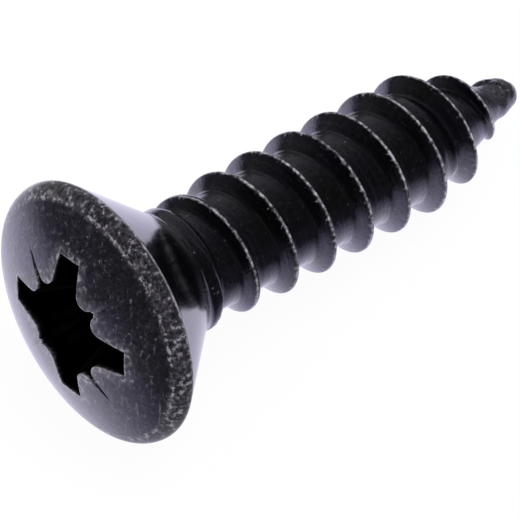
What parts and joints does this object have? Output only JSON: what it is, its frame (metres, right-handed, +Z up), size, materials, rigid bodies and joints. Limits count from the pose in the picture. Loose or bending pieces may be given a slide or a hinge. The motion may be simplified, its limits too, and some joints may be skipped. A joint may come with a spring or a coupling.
{
  "type": "sheet metal screw",
  "caption": "Short self-tapping screw in blackened steel, with an oval countersunk head, a type Z cross recess, a coarse right-hand thread and a gimlet point.",
  "frame": {"origin": "centre of the bounding box's base, on the surface that the screw lies on", "axes": "+X from the head towards the point, along the length; +Z up; the screw lies on its side, as it comes to rest, with its axis dipping about 9 degrees towards the point"},
  "size_m": [0.017, 0.0078, 0.0077],
  "materials": {
    "blackened_steel": "satin black oxide on case-hardened steel, worn to grey on the rim, the recess's edges and the thread's crest"
  },
  "bodies": {
    "root": {"screw": "blackened_steel"}
  },
  "joints": []
}
